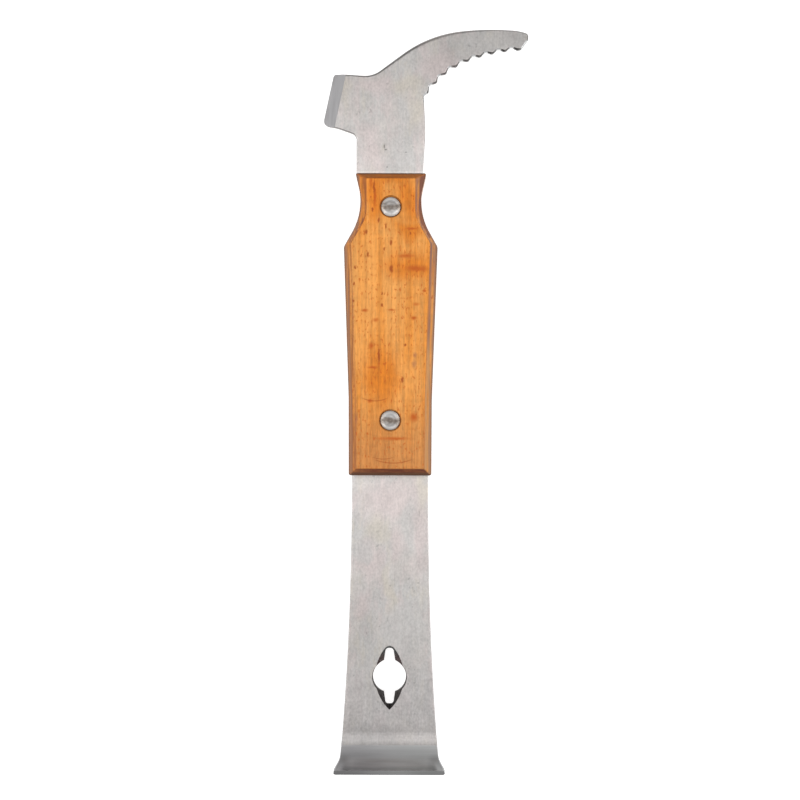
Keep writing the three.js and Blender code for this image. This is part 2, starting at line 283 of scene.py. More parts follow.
# From the hook's tip back to the nose.
HOOK_BACK = [
    (45.7, 97, 0.8, 8),
    (48, 100.3, 2.2, 8),
    (48, 102.3, 1.2, 8),
    (44.7, HOOK_TOP - 0.4, 18, 8),
    (32.4, HOOK_TOP + 0.25, 98, 12),
    (13.3, 102.2, 41, 28),
    (-6.6, 87.3, 9, 14),
]


def head_path():
    """The steel's edge above the middle of the handle, from its right side over to its left."""
    tang = [(x, y, 0 if y == HANDLE_END else radius, steps) for x, y, radius, steps in HANDLE_SIDE[2:]]
    start = (line_at(BEND_CORNER, SHOULDER_CORNER, SPLIT_Y), SPLIT_Y, 0, 0)
    neck_right = [(11.1, HANDLE_END, 0, 0), (12.05, 68, 60, 10), (11.3, 80.5, 0.6, 6)]
    nose = [(*NOSE_TOP, 1.2, 10), (*NOSE_FOOT, 2.6, 12), (-19, 69.1, 14, 5), (-12.1, 66.7, 2.6, 12)]
    neck_left = (-12.1, HANDLE_END, 0, 0)
    right_side = [start, *tang, *neck_right, *tooth_corners()]
    left_side = [*HOOK_BACK, *nose, neck_left, *mirrored([start, *tang])]
    return rounded([*right_side, *left_side], closed=False)


def in_curl(y, angle, straight, height):
    """(y, z) of a point in the sheet where it has curled by an angle below y and run on straight."""
    radius = LIP_INNER_RADIUS + STEEL_THICKNESS - height
    return (
        y - radius * math.sin(angle) - straight * math.cos(angle),
        FRONT_FACE + LIP_INNER_RADIUS - radius * math.cos(angle) + straight * math.sin(angle),
    )


# Where the lip starts to curl, so that its lowest ground corner lands on the tool's end.
GRIND_LEAN = LIP_ANGLE + LIP_GRIND_ANGLE
GRIND_LENGTH = STEEL_THICKNESS / math.sin(LIP_GRIND_ANGLE)
TIP_REACH = -in_curl(0, LIP_ANGLE, LIP_STRAIGHT, STEEL_THICKNESS)[0]
LIP_START = LIP_END + TIP_REACH - GRIND_LENGTH * math.cos(GRIND_LEAN)
LIP_FLARE = rounded(
    [
        (LIP_HALF_WIDTH, LIP_END - 12, 0, 0),
        (LIP_HALF_WIDTH, LIP_END + 1.5, 1.2, 8),
        (17.3, LIP_END + 4.3, 5, 12),
        (BLADE_HALF_WIDTH + BLADE_WIDENING, LIP_START, 0, 0),
    ],
    closed=False,
)


def half_width(y):
    """Half the steel's width at a height below the middle of the handle."""
    if y > BEND_CORNER[1]:
        return line_at(BEND_CORNER, SHOULDER_CORNER, y)
    if y > -HANDLE_END + TANG_STEP / 2:
        return line_at(FOOT_CORNER, BEND_CORNER, y)
    if y > LIP_START:
        along = (-HANDLE_END - y) / (-HANDLE_END - LIP_START)
        return BLADE_HALF_WIDTH + BLADE_WIDENING * max(along, 0) ** WIDENING_POWER
    for low, high in zip(LIP_FLARE, LIP_FLARE[1:]):
        if low.y <= y <= high.y:
            return line_at(low, high, y)
    return LIP_HALF_WIDTH


def arc_points(centre, radius, start, end, steps):
    """Points of an arc round (x, y), between two angles from the x axis."""
    turns = [start + (end - start) * i / steps for i in range(steps + 1)]
    return [(centre[0] + radius * math.cos(a), centre[1] + radius * math.sin(a)) for a in turns]


def circle(radius, y):
    return [Vector(point) for point in arc_points((0, y), radius, 0, 2 * math.pi, ROUND_SEGMENTS)[:-1]]


def lens(wide, long, top_radius):
    """Two arcs that meet in a point at the foot, with the top end rounded, anticlockwise."""
    radius = (wide**2 + long**2) / (2 * wide)
    centre_x = wide - radius
    top_y = math.sqrt((radius - top_radius) ** 2 - centre_x**2)
    top_angle = math.atan2(top_y, -centre_x)
    right = arc_points((centre_x, 0), radius, -math.asin(long / radius), top_angle, LENS_STEPS)[:-1]
    top = arc_points((0, top_y), top_radius, top_angle, math.pi - top_angle, LENS_TOP_STEPS)
    left = [(-x, y) for x, y in reversed(right[1:])]
    return [Vector((x, y + SLOT_Y)) for x, y in [*right, *top, *left]]


def slot_arms():
    """The two tapered arms of the nail slot, one above and one below its circle."""
    right = [
        (SLOT_END_HALF_WIDTH, SLOT_Y - SLOT_HALF_LENGTH, SLOT_END_RADIUS, 10),
        (SLOT_ROOT_HALF_WIDTH, SLOT_Y, 0, 0),
        (SLOT_END_HALF_WIDTH, SLOT_Y + SLOT_HALF_LENGTH, SLOT_END_RADIUS, 10),
    ]
    return rounded([*right, *mirrored(right)])


def inward(before, point, after):
    """How a corner of an anticlockwise outline moves when both of its sides move in by 1."""
    along, onward = (point - before).normalized(), (after - point).normalized()
    left, next_left = Vector((-along.y, along.x)), Vector((-onward.y, onward.x))
    return (left + next_left) / (1 + left.dot(next_left))


def inset(outline, distance):
    """A closed anticlockwise outline moved inwards, with mitred corners."""
    corners = zip([outline[-1], *outline], outline, [*outline[1:], outline[0]])
    return [point + inward(before, point, after) * distance for before, point, after in corners]


# ---- Meshes ----

# Edges that turn by more than this many degrees stay sharp.
SMOOTH_ANGLE = 32
BLADE_SMOOTH_ANGLE = 24


def add_object(name, data):
    added = bpy.data.objects.new(name, data)
    bpy.context.scene.collection.objects.link(added)
    return added


def new_object(name, made, materials=()):
    """A bmesh in millimetres as an object in metres, smooth but for its sharp edges."""
    bmesh.ops.recalc_face_normals(made, faces=made.faces)
    bmesh.ops.scale(made, vec=(MM, MM, MM), verts=made.verts)
    for face in made.faces:
        face.smooth = True
    mesh = bpy.data.meshes.new(name)
    for material in materials:
        mesh.materials.append(material)
    made.to_mesh(mesh)
    made.free()
    mesh.set_sharp_from_angle(angle=math.radians(SMOOTH_ANGLE))
    return add_object(name, mesh)


def ring(made, points, z):
    return [made.verts.new((point.x, point.y, z)) for point in points]


def skin(made, rings, closed=True):
    """Quads between neighbouring rings of vertices."""
    faces = []
    for lower, upper in zip(rings, rings[1:]):
        count = len(lower)
        for i in range(count if closed else count - 1):
            j = (i + 1) % count
            faces.append(made.faces.new((lower[i], lower[j], upper[j], upper[i])))
    return faces


def loft(levels):
    """A closed body through (z, outline) levels with equal point counts."""
    made = bmesh.new()
    rings = [ring(made, outline, z) for z, outline in levels]
    skin(made, rings)
    made.faces.new(list(reversed(rings[0])))
    made.faces.new(rings[-1])
    return made


def turned(profile, y):
    """A body turned about the vertical axis at (0, y), from (radius, z) points between axis points."""
    made = bmesh.new()
    rings = [ring(made, circle(radius, y), z) for radius, z in profile[1:-1]]
    skin(made, rings)
    for (_, z), last in ((profile[0], rings[0]), (profile[-1], rings[-1])):
        tip = made.verts.new((0, y, z))
        for i, vertex in enumerate(last):
            made.faces.new((tip, vertex, last[(i + 1) % len(last)]))
    return made


# Vertices closer together than SLIVER are welded, and those closer to a cutting plane than ON_PLANE
# count as on it.
SLIVER = 1e-4
ON_PLANE = 1e-5


def cut(piece, cutters):
    """Takes other closed bodies out of a piece, removes them, and welds what slivers they leave."""
    for made in cutters:
        cutter = new_object("cutter", made)
        boolean = piece.modifiers.new("cut", "BOOLEAN")
        boolean.operation = "DIFFERENCE"
        boolean.solver = "EXACT"
        boolean.object = cutter
        graph = bpy.context.evaluated_depsgraph_get()
        mesh = bpy.data.meshes.new_from_object(piece.evaluated_get(graph))
        piece.modifiers.clear()
        piece.data = mesh
        bpy.data.objects.remove(cutter)
    welded = bmesh.new()
    welded.from_mesh(piece.data)
    bmesh.ops.remove_doubles(welded, verts=welded.verts, dist=SLIVER * MM)
    welded.to_mesh(piece.data)
    welded.free()


def trim(made, point, normal, material):
    """Cuts away everything past a plane and closes the cut with one flat face."""
    geometry = [*made.verts, *made.edges, *made.faces]
    result = bmesh.ops.bisect_plane(
        made, geom=geometry, plane_co=point, plane_no=normal, clear_outer=True, dist=ON_PLANE
    )
    rim = [part for part in result["geom_cut"] if isinstance(part, bmesh.types.BMEdge)]
    closed = bmesh.ops.edgeloop_fill(made, edges=rim)
    for face in closed["faces"]:
        face.material_index = material


def finish_normals(piece, smooth_angle=SMOOTH_ANGLE):
    """Flat faces keep flat shading, and the rounding runs smoothly into them."""
    for polygon in piece.data.polygons:
        polygon.use_smooth = True
    piece.data.set_sharp_from_angle(angle=math.radians(smooth_angle))
    weighted = piece.modifiers.new("weighted_normals", "WEIGHTED_NORMAL")
    weighted.weight = 100
    weighted.keep_sharp = True


def rounded_wall(front_round, rear_round):
    """(inset, height) pairs from the rear face up to the front face, with both edges rounded."""
    turns = [math.pi / 2 * i / ROUND_STEPS for i in range(ROUND_STEPS + 1)]
    curve = [(1 - math.sin(turn), 1 - math.cos(turn)) for turn in turns]
    rear = [(depth * rear_round, up * rear_round) for depth, up in curve]
    front = [(depth * front_round, STEEL_THICKNESS - up * front_round) for depth, up in curve]
    return [*rear, *reversed(front)]


TOOTH_SAMPLES = [place for place, _ in along_spline(TOOTH_LINE, 120)]
# What lies above BACK_LOW and further than BACK_OFF from the teeth counts as the hook's back.
BACK_LOW = 86
BACK_OFF = 5


def from_teeth(point):
    """The distance to the line through the tips of the teeth."""
    return min((point - place).length for place in TOOTH_SAMPLES)


def edge_round(point):
    """How far the steel's edge is rounded at a place: most along the hook's back and on its teeth."""
    if point.y < HANDLE_END + 0.01:
        return TANG_ROUND
    distance = from_teeth(point)
    if distance < CLEAN_DEPTH:
        return TOOTH_TIP_ROUND + (EDGE_ROUND - TOOTH_TIP_ROUND) * distance / CLEAN_DEPTH
    if point.y > BACK_LOW and distance > BACK_OFF:
        share = math.exp(-(((point.x - BACK_ROUND_X) / BACK_ROUND_REACH) ** 2))
        return EDGE_ROUND + (HOOK_BACK_ROUND - EDGE_ROUND) * share
    return EDGE_ROUND


# Which material each of the blade's faces takes.
TUMBLED, GROUND, SHEARED = 0, 1, 2


def blade_body():
    """The steel before its slot and rivet holes: the flat head, then sections down to the lip."""
    made = bmesh.new()
    path = head_path()
    rows = []
    for i, point in enumerate(path):
        if i in (0, len(path) - 1):
            inwards = Vector((-math.copysign(1, point.x), 0))
        else:
            inwards = inward(path[i - 1], point, path[i + 1])
        front_round = edge_round(point)
        rear_round = min(front_round, STEEL_THICKNESS - LEAST_WALL - front_round)
        wall = rounded_wall(front_round, rear_round)
        places = [(point + inwards * depth, REAR_FACE + height) for depth, height in wall]
        rows.append([made.verts.new((*place, z)) for place, z in places])
    skin(made, rows, closed=False)
    made.faces.ensure_lookup_table()
    per_row = len(rows[0]) - 1
    for i, point in enumerate(path[:-1]):
        if CLEAN_DEPTH < from_teeth(point) < GULLET_REACH:
            for face in made.faces[i * per_row : (i + 1) * per_row]:
                face.material_index = GROUND
    made.faces.new([row[0] for row in reversed(rows)])
    made.faces.new([row[-1] for row in rows])

    right, left = rows[0], rows[-1]
    for y, angle, straight, front_round in blade_sections():
        next_right, next_left = [], []
        rear_round = front_round + (LIP_REAR_ROUND - front_round) * angle / LIP_ANGLE
        for depth, height in rounded_wall(front_round, rear_round):
            at_y, at_z = in_curl(y, angle, straight, height)
            at_x = half_width(at_y) - depth
            next_right.append(made.verts.new((at_x, at_y, at_z)))
            next_left.append(made.verts.new((-at_x, at_y, at_z)))
        sides = skin(made, [right, next_right], closed=False)
        sides += skin(made, [left, next_left], closed=False)
        front = made.faces.new((right[-1], left[-1], next_left[-1], next_right[-1]))
        made.faces.new((right[0], left[0], next_left[0], next_right[0]))
        if right[-1].co.y < LIP_GROUND_Y + 0.1:
            for face in [front, *sides]:
                face.material_index = GROUND
        right, left = next_right, next_left
    made.faces.new([*right, *reversed(left)])
    bmesh.ops.recalc_face_normals(made, faces=made.faces)
    return made


def blade_sections():
    """(y, curl angle, straight length, edge rounding) of each section, from the handle down."""
    for y in (-8.7, -17.4, BEND_CORNER[1], -39, -HANDLE_END + TANG_STEP):
        yield y, 0.0, 0.0, TANG_ROUND
    for i in range(BLADE_SECTIONS + 1):
        share = i / BLADE_SECTIONS
        yield -HANDLE_END + share * (LIP_START + HANDLE_END), 0.0, 0.0, BLADE_EDGE_ROUND
    ground_angle = math.asin((LIP_START - LIP_GROUND_Y) / LIP_INNER_RADIUS)
    ground_step = round(LIP_SECTIONS * ground_angle / LIP_ANGLE)
    for i in range(1, LIP_SECTIONS + 1):
        if i <= ground_step:
            angle = ground_angle * i / ground_step
        else:
            share = (i - ground_step) / (LIP_SECTIONS - ground_step)
            angle = ground_angle + (LIP_ANGLE - ground_angle) * share
        yield LIP_START, angle, 0.0, BLADE_EDGE_ROUND
    for straight in (LIP_STRAIGHT, 2 * LIP_STRAIGHT, 4 * LIP_STRAIGHT):
        yield LIP_START, LIP_ANGLE, straight, BLADE_EDGE_ROUND


def grind(made):
    """The two ground bevels: across the lip's end, and along the nose."""
    tip = Vector((0, *in_curl(LIP_START, LIP_ANGLE, LIP_STRAIGHT, STEEL_THICKNESS)))
    trim(made, tip, Vector((0, -math.sin(GRIND_LEAN), -math.cos(GRIND_LEAN))), GROUND)

    nose = (NOSE_TOP - NOSE_FOOT).normalized().to_3d()
    up_the_bevel = Vector((nose.y, -nose.x, 0)) * NOSE_BEVEL_WIDTH + Vector((0, 0, STEEL_THICKNESS))
    trim(made, Vector((*NOSE_FOOT, REAR_FACE)), up_the_bevel.cross(nose).normalized(), GROUND)


def slot_cutters():
    """The punched circle, worn in front and most at its foot, its arms, and the countersink."""
    bottom, top = REAR_FACE - 1, FRONT_FACE + 1
    hole = circle(SLOT_CIRCLE_RADIUS, SLOT_Y)
    eased = circle(SLOT_CIRCLE_RADIUS + SLOT_EASE, SLOT_Y - 0.8 * SLOT_EASE)
    cutters = [
        loft([(bottom, hole), (FRONT_FACE - SLOT_EASE, hole), (FRONT_FACE, eased), (top, eased)]),
        loft([(bottom, slot_arms()), (top, slot_arms())]),
    ]
    rear = lens(LENS_REAR_HALF_WIDTH, LENS_REAR_HALF_LENGTH, LENS_REAR_TOP_RADIUS)
    front = lens(LENS_HALF_WIDTH, LENS_HALF_LENGTH, LENS_TOP_RADIUS)
    cutters.append(loft([(REAR_FACE, rear), (FRONT_FACE, front), (top, front)]))
    return cutters


# The upward part of a face's normal, above which it counts as flat.
STEEP = 0.95


def mark_slot_walls(piece):
    """The slot's punched and countersunk walls take the sheared steel."""
    for polygon in piece.data.polygons:
        x, y, _ = polygon.center / MM
        in_slot = abs(x) < SLOT_CIRCLE_RADIUS + SLOT_EASE and abs(y - SLOT_Y) < LENS_HALF_LENGTH
        if in_slot and abs(polygon.normal.z) < STEEP:
            polygon.material_index = SHEARED


def make_blade(materials):
    made = blade_body()
    grind(made)
    piece = new_object("steel_blade", made, materials)
    holes = [circle(RIVET_HOLE_RADIUS, y) for y in RIVET_Y.values()]
    cut(piece, [*slot_cutters(), *(loft([(0, hole), (HANDLE_FRONT, hole)]) for hole in holes)])
    mark_slot_walls(piece)
    finish_normals(piece, BLADE_SMOOTH_ANGLE)
    return piece


def bent(a, b, c):
    """Points of the curve that rounds the corner b between a and c."""
    start = b + (a - b).normalized() * CHAMFER_EASE
    end = b + (c - b).normalized() * CHAMFER_EASE
    shares = [i / EASE_STEPS for i in range(EASE_STEPS + 1)]
    return [start * (1 - t) ** 2 + b * (2 * t * (1 - t)) + end * t**2 for t in shares]


def scale_body(is_front):
    """One beech scale, with a soft-edged chamfer round its outer face."""
    full = rounded([*HANDLE_SIDE, *mirrored(HANDLE_SIDE)])
    face = rounded([*FACE_SIDE, *mirrored(FACE_SIDE)])
    seam = inset(full, SEAM_EASE)
    middle = inset(face, 3 * CHAMFER_EASE)
    wall_top = HANDLE_FRONT - CHAMFER_DEPTH
    made = bmesh.new()
    columns = []
    for at_seam, at_full, at_face, at_middle in zip(seam, full, face, middle):
        foot = Vector((*at_seam, FRONT_FACE))
        shoulder = Vector((*at_full, FRONT_FACE + SEAM_EASE))
        edge = Vector((*at_full, wall_top))
        rim = Vector((*at_face, HANDLE_FRONT))
        inside = Vector((*at_middle, HANDLE_FRONT))
        columns.append([foot, shoulder, *bent(shoulder, edge, rim), *bent(edge, rim, inside)])
    rings = []
    for level in zip(*columns):
        points = [(p.x, p.y, p.z if is_front else REAR_FACE - (p.z - FRONT_FACE)) for p in level]
        rings.append([made.verts.new(point) for point in points])
    skin(made, rings)
    made.faces.new(rings[0])
    made.faces.new(rings[-1])
    return made


def make_scale(is_front, material):
    name = "front_beech_scale" if is_front else "rear_beech_scale"
    piece = new_object(name, scale_body(is_front), [material])
    face = HANDLE_FRONT if is_front else 0
    out = 1 if is_front else -1
    cutters = []
    for y in RIVET_Y.values():
        hole, counterbore = circle(RIVET_HOLE_RADIUS, y), circle(COUNTERBORE_RADIUS, y)
        cutters.append(loft([(-1, hole), (HANDLE_FRONT + 1, hole)]))
        levels = sorted([face - out * COUNTERBORE_DEPTH, face + out])
        cutters.append(loft([(z, counterbore) for z in levels]))
    cut(piece, cutters)
    finish_normals(piece)
    return piece


def head_profile():
    """A rivet head from its crown to the underside of its rim, which is at height 0."""
    rise = RIVET_CROWN_HEIGHT - RIVET_RIM_HEIGHT
    radius = (RIVET_HEAD_RADIUS**2 + rise**2) / (2 * rise)
    sweep = math.asin((RIVET_HEAD_RADIUS - RIM_EASE) / radius)
    upright = math.pi / 2
    dome = arc_points((0, RIVET_CROWN_HEIGHT - radius), radius, upright, upright - sweep, DOME_STEPS)
    rim_centre = (RIVET_HEAD_RADIUS - RIM_EASE, dome[-1][1] - RIM_EASE)
    rim = arc_points(rim_centre, RIM_EASE, upright, 0, ROUND_STEPS)[1:]
    return [*dome, *rim, (RIVET_HEAD_RADIUS, UNDERCUT), (RIVET_HEAD_RADIUS - UNDERCUT, 0)]


HEAD_SEAT = COUNTERBORE_DEPTH - HEAD_CLEARANCE
SHANK_LENGTH = HANDLE_FRONT - 2 * HEAD_SEAT


def make_rivet(place, y, material):
    """The front post with its solid shank, and the rear socket that takes it."""
    reach = SHANK_LENGTH - SHANK_END_GAP
    head = head_profile()
    post = [(POST_RADIUS, 0), (POST_RADIUS, POST_CHAMFER - reach), (POST_RADIUS - POST_CHAMFER, -reach)]
    outside = [(SOCKET_RADIUS, 0), (SOCKET_RADIUS, -reach)]
    bore = [(SOCKET_BORE_RADIUS, -reach), (SOCKET_BORE_RADIUS, 0)]
    post = [*head, *post, (0, -reach)]
    socket = [*head, *outside, *bore, (0, 0)]
    front = turned([(radius, HANDLE_FRONT - HEAD_SEAT + z) for radius, z in post], y)
    rear = turned([(radius, HEAD_SEAT - z) for radius, z in socket], y)
    pieces = {"post": front, "socket": rear}
    return {name: new_object(f"{place}_steel_{name}", made, [material]) for name, made in pieces.items()}


# ---- Materials ----

# What noise mostly stays within.
NOISE_RANGE = (0.3, 0.7)


class Shader:
    """Short calls that each add a node or two to a material and return the output."""

    def __init__(self, name):
        self.material = bpy.data.materials.new(name)
        self.material.use_nodes = True
        self.tree = self.material.node_tree
        self.surface = self.tree.nodes["Principled BSDF"]
        coordinates = self.add("ShaderNodeTexCoord", {})
        self.position = coordinates["Object"]
        self.x, self.y, self.z = self.axes(self.position)
        self.lean_x, self.lean_y, self.lean_z = self.axes(coordinates["Normal"])

    def feed(self, socket, value):
        if isinstance(value, bpy.types.NodeSocket):
            self.tree.links.new(value, socket)
        else:
            socket.default_value = value

    def set(self, name, value):
        self.feed(self.surface.inputs[name], value)

    def add(self, kind, inputs, **settings):
        """A new node's outputs, with its inputs given by number or name."""
        made = self.tree.nodes.new(kind)
        for name, value in settings.items():
            setattr(made, name, value)
        for key, value in inputs.items():
            self.feed(made.inputs[key], value)
        return made.outputs

    def axes(self, vector):
        return self.add("ShaderNodeSeparateXYZ", {0: vector})

    def math(self, operation, *values):
        return self.add("ShaderNodeMath", dict(enumerate(values)), operation=operation)[0]

    def vector_math(self, operation, *values):
        return self.add("ShaderNodeVectorMath", dict(enumerate(values)), operation=operation)

    def size(self, value):
        """A value without its sign."""
        return self.math("ABSOLUTE", value)

    def times(self, *values):
        return reduce(lambda a, b: self.math("MULTIPLY", a, b), values)

    def plus(self, *values):
        return reduce(lambda a, b: self.math("ADD", a, b), values)

    def raised(self, where, change):
        """A level of 1, raised by change where `where` is 1, or lowered if the change is negative."""
        return self.plus(1.0, self.times(where, change))

    def blend(self, share, a, b):
        """The value a where share is 0, running to b where it is 1."""
        return self.add("ShaderNodeMix", {0: share, 2: a, 3: b}, data_type="FLOAT")[0]

    def mix(self, share, a, b):
        """The colour a where share is 0, running to b where it is 1."""
        a, b = ((*colour, 1) if isinstance(colour, tuple) else colour for colour in (a, b))
        return self.add("ShaderNodeMix", {0: share, 6: a, 7: b}, data_type="RGBA")[2]

    def dim(self, colour, level):
        """A colour or vector multiplied by a number."""
        return self.add("ShaderNodeVectorMath", {0: colour, "Scale": level}, operation="SCALE")[0]

    def remap(self, value, low, high, to_low=0.0, to_high=1.0):
        """Runs smoothly from to_low to to_high as the value runs from low to high."""
        inputs = dict(enumerate((value, low, high, to_low, to_high)))
        return self.add("ShaderNodeMapRange", inputs, interpolation_type="SMOOTHSTEP")[0]

    def ramp(self, place, low, high, to_low=0.0, to_high=1.0):
        """The same for a place, with low and high in millimetres."""
        return self.remap(place, low * MM, high * MM, to_low, to_high)

    def band(self, place, start, full, fading, end):
        """1 on a stretch of an axis between full and fading, and 0 outside start and end."""
        return self.times(self.ramp(place, start, full), self.ramp(place, end, fading))

    def spread(self, noise, to_low, to_high):
        """Runs from to_low to to_high as a noise runs over most of its range."""
        return self.remap(noise, *NOISE_RANGE, to_low, to_high)

    def swing(self, noise, reach):
        return self.spread(noise, -reach, reach)

    def noise_outputs(self, per_metre, detail=2.0, roughness=0.5, shift=(0, 0, 0), bend=0.0):
        inputs = {"Vector": self.position, "Location": shift, "Scale": per_metre}
        place = self.add("ShaderNodeMapping", inputs)[0]
        inputs = {"Vector": place, "Scale": 1, "Detail": detail, "Roughness": roughness, "Distortion": bend}
        return self.add("ShaderNodeTexNoise", inputs)

    def noise(self, *size_and_detail, **more):
        """Noise with so many waves a metre along each axis."""
        return self.noise_outputs(*size_and_detail, **more)["Fac"]

    def wobbled(self, per_metre, reach):
        """The position, moved at random by up to about half of reach, in millimetres."""
        shift = self.dim(self.noise_outputs(per_metre)["Color"], reach * MM)
        moved = self.vector_math("ADD", self.position, shift)[0]
        return self.vector_math("SUBTRACT", moved, (reach / 2 * MM,) * 3)[0]

    def bump(self, height, depth, below=None):
        """Relief of a real depth in millimetres, where height runs from 0 to 1, over other relief."""
        inputs = {"Strength": 1.0, "Distance": depth * MM, "Height": height}
        if below is not None:
            inputs["Normal"] = below
        return self.add("ShaderNodeBump", inputs)[0]

    def areas(self, ellipses, place, inner=0.3, outer=1.5):
        """1 inside upright ellipses (x, y, half width, half length), fading to 0 around them."""
        flat = self.vector_math("MULTIPLY", place, (1, 1, 0))[0]
        distances = []
        for x, y, wide, long in ellipses:
            inputs = {"Vector": flat, "Location": (x * MM, y * MM, 0), "Scale": (wide * MM, long * MM, 1)}
            from_centre = self.add("ShaderNodeMapping", inputs, vector_type="TEXTURE")[0]
            distances.append(self.vector_math("LENGTH", from_centre)["Value"])
        nearest = reduce(lambda a, b: self.math("MINIMUM", a, b), distances)
        return self.remap(nearest, inner, outer, 1.0, 0.0)

    def arc(self, x, y, half_width, sag, thickness):
        """1 on a shallow arc whose lowest point is at (x, y), in millimetres."""
        across = self.math("SUBTRACT", self.x, x * MM)
        rise = self.times(across, across, sag / half_width**2 / MM)
        off = self.size(self.math("SUBTRACT", self.math("SUBTRACT", self.y, y * MM), rise))
        line = self.ramp(off, 0.3 * thickness, thickness, 1.0, 0.0)
        return self.times(line, self.ramp(self.size(across), 0.6 * half_width, half_width, 1.0, 0.0))


def finished_steel(m, colour, roughness, relief):
    """Sets what every steel sets, and returns the material."""
    finish = {"Base Color": colour, "Metallic": 1.0, "Roughness": roughness, "Normal": relief}
    for name, value in finish.items():
        m.set(name, value)
    return m.material


# Where the head starts to take its own level of painted shade, on its edges and across it, and where it has
# it all, upwards.
HEAD_START = (72, 84)
# A painted highlight in the bright stretch above the lip's bend, and another in the strip just above the
# handle: where each starts, is full, starts to fade and ends.
BEND_HIGHLIGHT = (-142.4, -143.3, -143.8, -144.9)
HANDLE_HIGHLIGHT_STRIP = (52.4, 52.6, 53.7, 54.2)

GREY_STEEL = (0.525, 0.510, 0.498)
WARM_STEEL = (0.556, 0.524, 0.503)
PINK_STEEL = (0.586, 0.518, 0.506)
YELLOW_STEEL = (0.572, 0.528, 0.466)
LIP_STEEL = (0.536, 0.512, 0.508)

# Broad tints that heat and tumbling leave on the steel: (x, y, half width, half length).
PINK_AREAS = [
    (-6, 85, 8, 4), (17, 91, 8, 5), (-7, 62, 4, 8), (0, -62, 12, 7), (-7, -82, 5, 7),
    (10, -72, 3, 16), (-10, -98, 3, 5), (2, -77, 3, 7),
]
YELLOW_AREAS = [
    (6, 84, 5, 4), (9, 76, 2.5, 6), (-4.5, -71, 3.5, 4), (-0.5, -92, 1.5, 9), (-17, 84, 3, 3),
    (11, -58, 2, 6),
]
GREY_AREAS = [
    (36, 98, 14, 5), (6.5, -71, 3.5, 10), (-9, -79, 4, 4), (6, -108, 9, 10), (4, 76, 4, 5),
    (4, 58, 4, 7),
]
# Nicks in the neck, with the same four numbers.
NICKS = [
    (-2.4, 62.6, 0.3, 0.8), (-1.9, 61.5, 0.5, 0.3), (5.2, 60.6, 0.5, 0.15),
    (-1.4, 55.4, 0.25, 0.3),
]


def steel_tints(m):
    """Grey steel with broad and fine tints, and its own tint at the lip."""
    drifting = m.wobbled((170, 110, 170), 9)
    warmth = m.noise((95, 50, 95), 2, 0.55, shift=(4, 19, 8))
    blush = m.noise((330, 110, 330), 3, 0.6, shift=(5, 25, 9))
    tints = [
        (m.remap(blush, 0.46, 0.66, 0.0, 0.55), PINK_STEEL),
        (m.remap(blush, 0.48, 0.30, 0.0, 0.45), YELLOW_STEEL),
        (m.times(m.areas(PINK_AREAS, drifting), 0.85), PINK_STEEL),
        (m.times(m.areas(YELLOW_AREAS, drifting), 0.75), YELLOW_STEEL),
        (m.times(m.areas(GREY_AREAS, drifting, 0.5, 1.3), 0.7), GREY_STEEL),
        (m.ramp(m.y, -115, -130, 0.0, 0.55), LIP_STEEL),
    ]
    colour = m.mix(m.remap(warmth, 0.40, 0.64), GREY_STEEL, WARM_STEEL)
    for share, tint in tints:
        colour = m.mix(share, colour, tint)
    return colour


def steel_pitting(m):
    """The level of the pits and nicks, 1 between them."""
    pits = m.noise((900, 600, 900), 1, 0.4, shift=(9, 9, 9))
    pitted = m.noise((120, 160, 120), 1, 0.5, shift=(1, 5, 2))
    pit = m.times(m.remap(pits, 0.66, 0.78), m.remap(pitted, 0.5, 0.62), 0.26)
    nick = m.times(m.areas(NICKS, m.position, 0.5, 1.3), 0.5)
    return m.math("SUBTRACT", 1.0, m.math("MAXIMUM", pit, nick))


def steel_edges(m):
    """Edges, 1 on the faces: dark sheared steel with painted shade, darkest under the teeth, lighter on the
    back.
    """
    at_head = m.ramp(m.y, *HEAD_START)
    is_face = m.remap(m.size(m.lean_z), m.blend(at_head, 0.72, 0.90), 0.994)
    is_curled = m.ramp(m.z, FRONT_FACE + 0.2, FRONT_FACE + 0.4)
    curled_face = m.times(is_curled, m.remap(m.size(m.lean_x), 0.3, 0.85, 1.0, 0.0))
    # Painted shade on the edges: darker on the head, darkest under the hook where they face left, lighter
    # towards the right on its back.
    level = m.blend(at_head, 0.42, 0.13)
    under_hook = m.times(m.remap(m.lean_y, -0.05, -0.25), at_head)
    level = m.blend(under_hook, level, m.remap(m.lean_x, -0.30, 0.05, 0.06, 0.28))
    on_back = m.times(m.remap(m.lean_y, 0.05, 0.15), at_head)
    level = m.blend(on_back, level, m.ramp(m.x, 4, 24, 0.34, 0.72))
    return m.blend(m.math("MAXIMUM", is_face, curled_face), level, 1.0)


def steel_shading(m):
    """Painted light and shade on the tumbled steel by place: light beside the handle, darker towards both
    ends and the head's sides, with painted highlights above the lip's bend and the handle.
    """
    at_head = m.ramp(m.y, *HEAD_START)
    from_middle = m.size(m.y)
    along = [
        m.ramp(from_middle, 55, 120, 1.07, 0.97),
        m.ramp(from_middle, 60.5, 54.5, 1.0, 1.05),
        m.ramp(m.y, -128, -142, 1.0, 0.965),
        m.ramp(m.y, -138, -143, 1.0, 0.90),
        # Painted highlights above the lip's bend and just above the handle.
        m.raised(m.band(m.y, *BEND_HIGHLIGHT), 0.19),
        m.raised(m.band(m.y, *HANDLE_HIGHLIGHT_STRIP), 0.22),
    ]
    across = [
        m.blend(at_head, 1.0, m.ramp(m.x, 4, 22, 1.0, 0.905)),
        m.blend(at_head, 1.0, m.ramp(m.x, -8, -12, 1.0, 0.965)),
        m.blend(m.ramp(m.y, -90, -105), 1.0, m.ramp(m.x, -10, 10, 0.96, 1.045)),
    ]
    return m.times(*along, *across)


